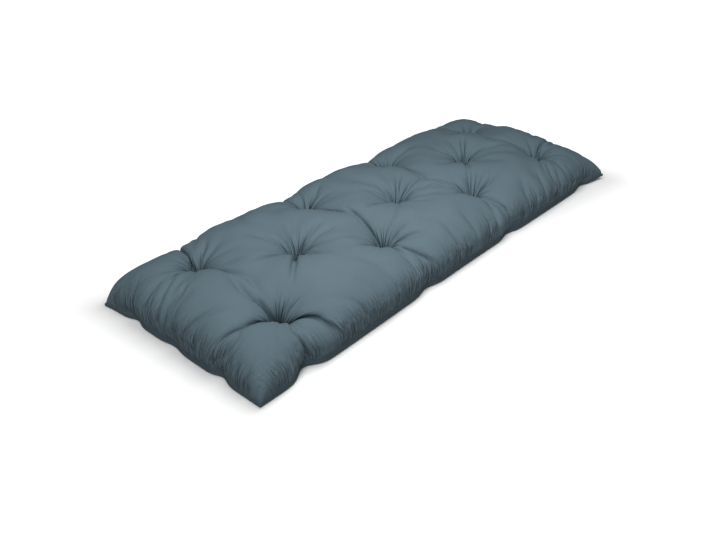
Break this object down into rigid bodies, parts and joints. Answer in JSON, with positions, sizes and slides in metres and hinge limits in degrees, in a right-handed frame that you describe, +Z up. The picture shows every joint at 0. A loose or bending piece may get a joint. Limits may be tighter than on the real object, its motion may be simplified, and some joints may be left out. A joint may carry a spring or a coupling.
{
  "type": "bench cushion",
  "caption": "Long rectangular bench cushion of plain slate cloth, fibre filled, sewn shut at a knife edge and stitched through into tufts and crosswise channels.",
  "frame": {"origin": "on the surface the cushion lies on, under the middle of its bounding box", "axes": "+X along the bench, +Y across it towards the back, +Z up through the crown"},
  "size_m": [1.24, 0.476, 0.1212],
  "materials": {
    "cushion_cloth": "matt plain-woven cloth"
  },
  "bodies": {
    "root": {"cushion": "cushion_cloth"}
  },
  "joints": []
}
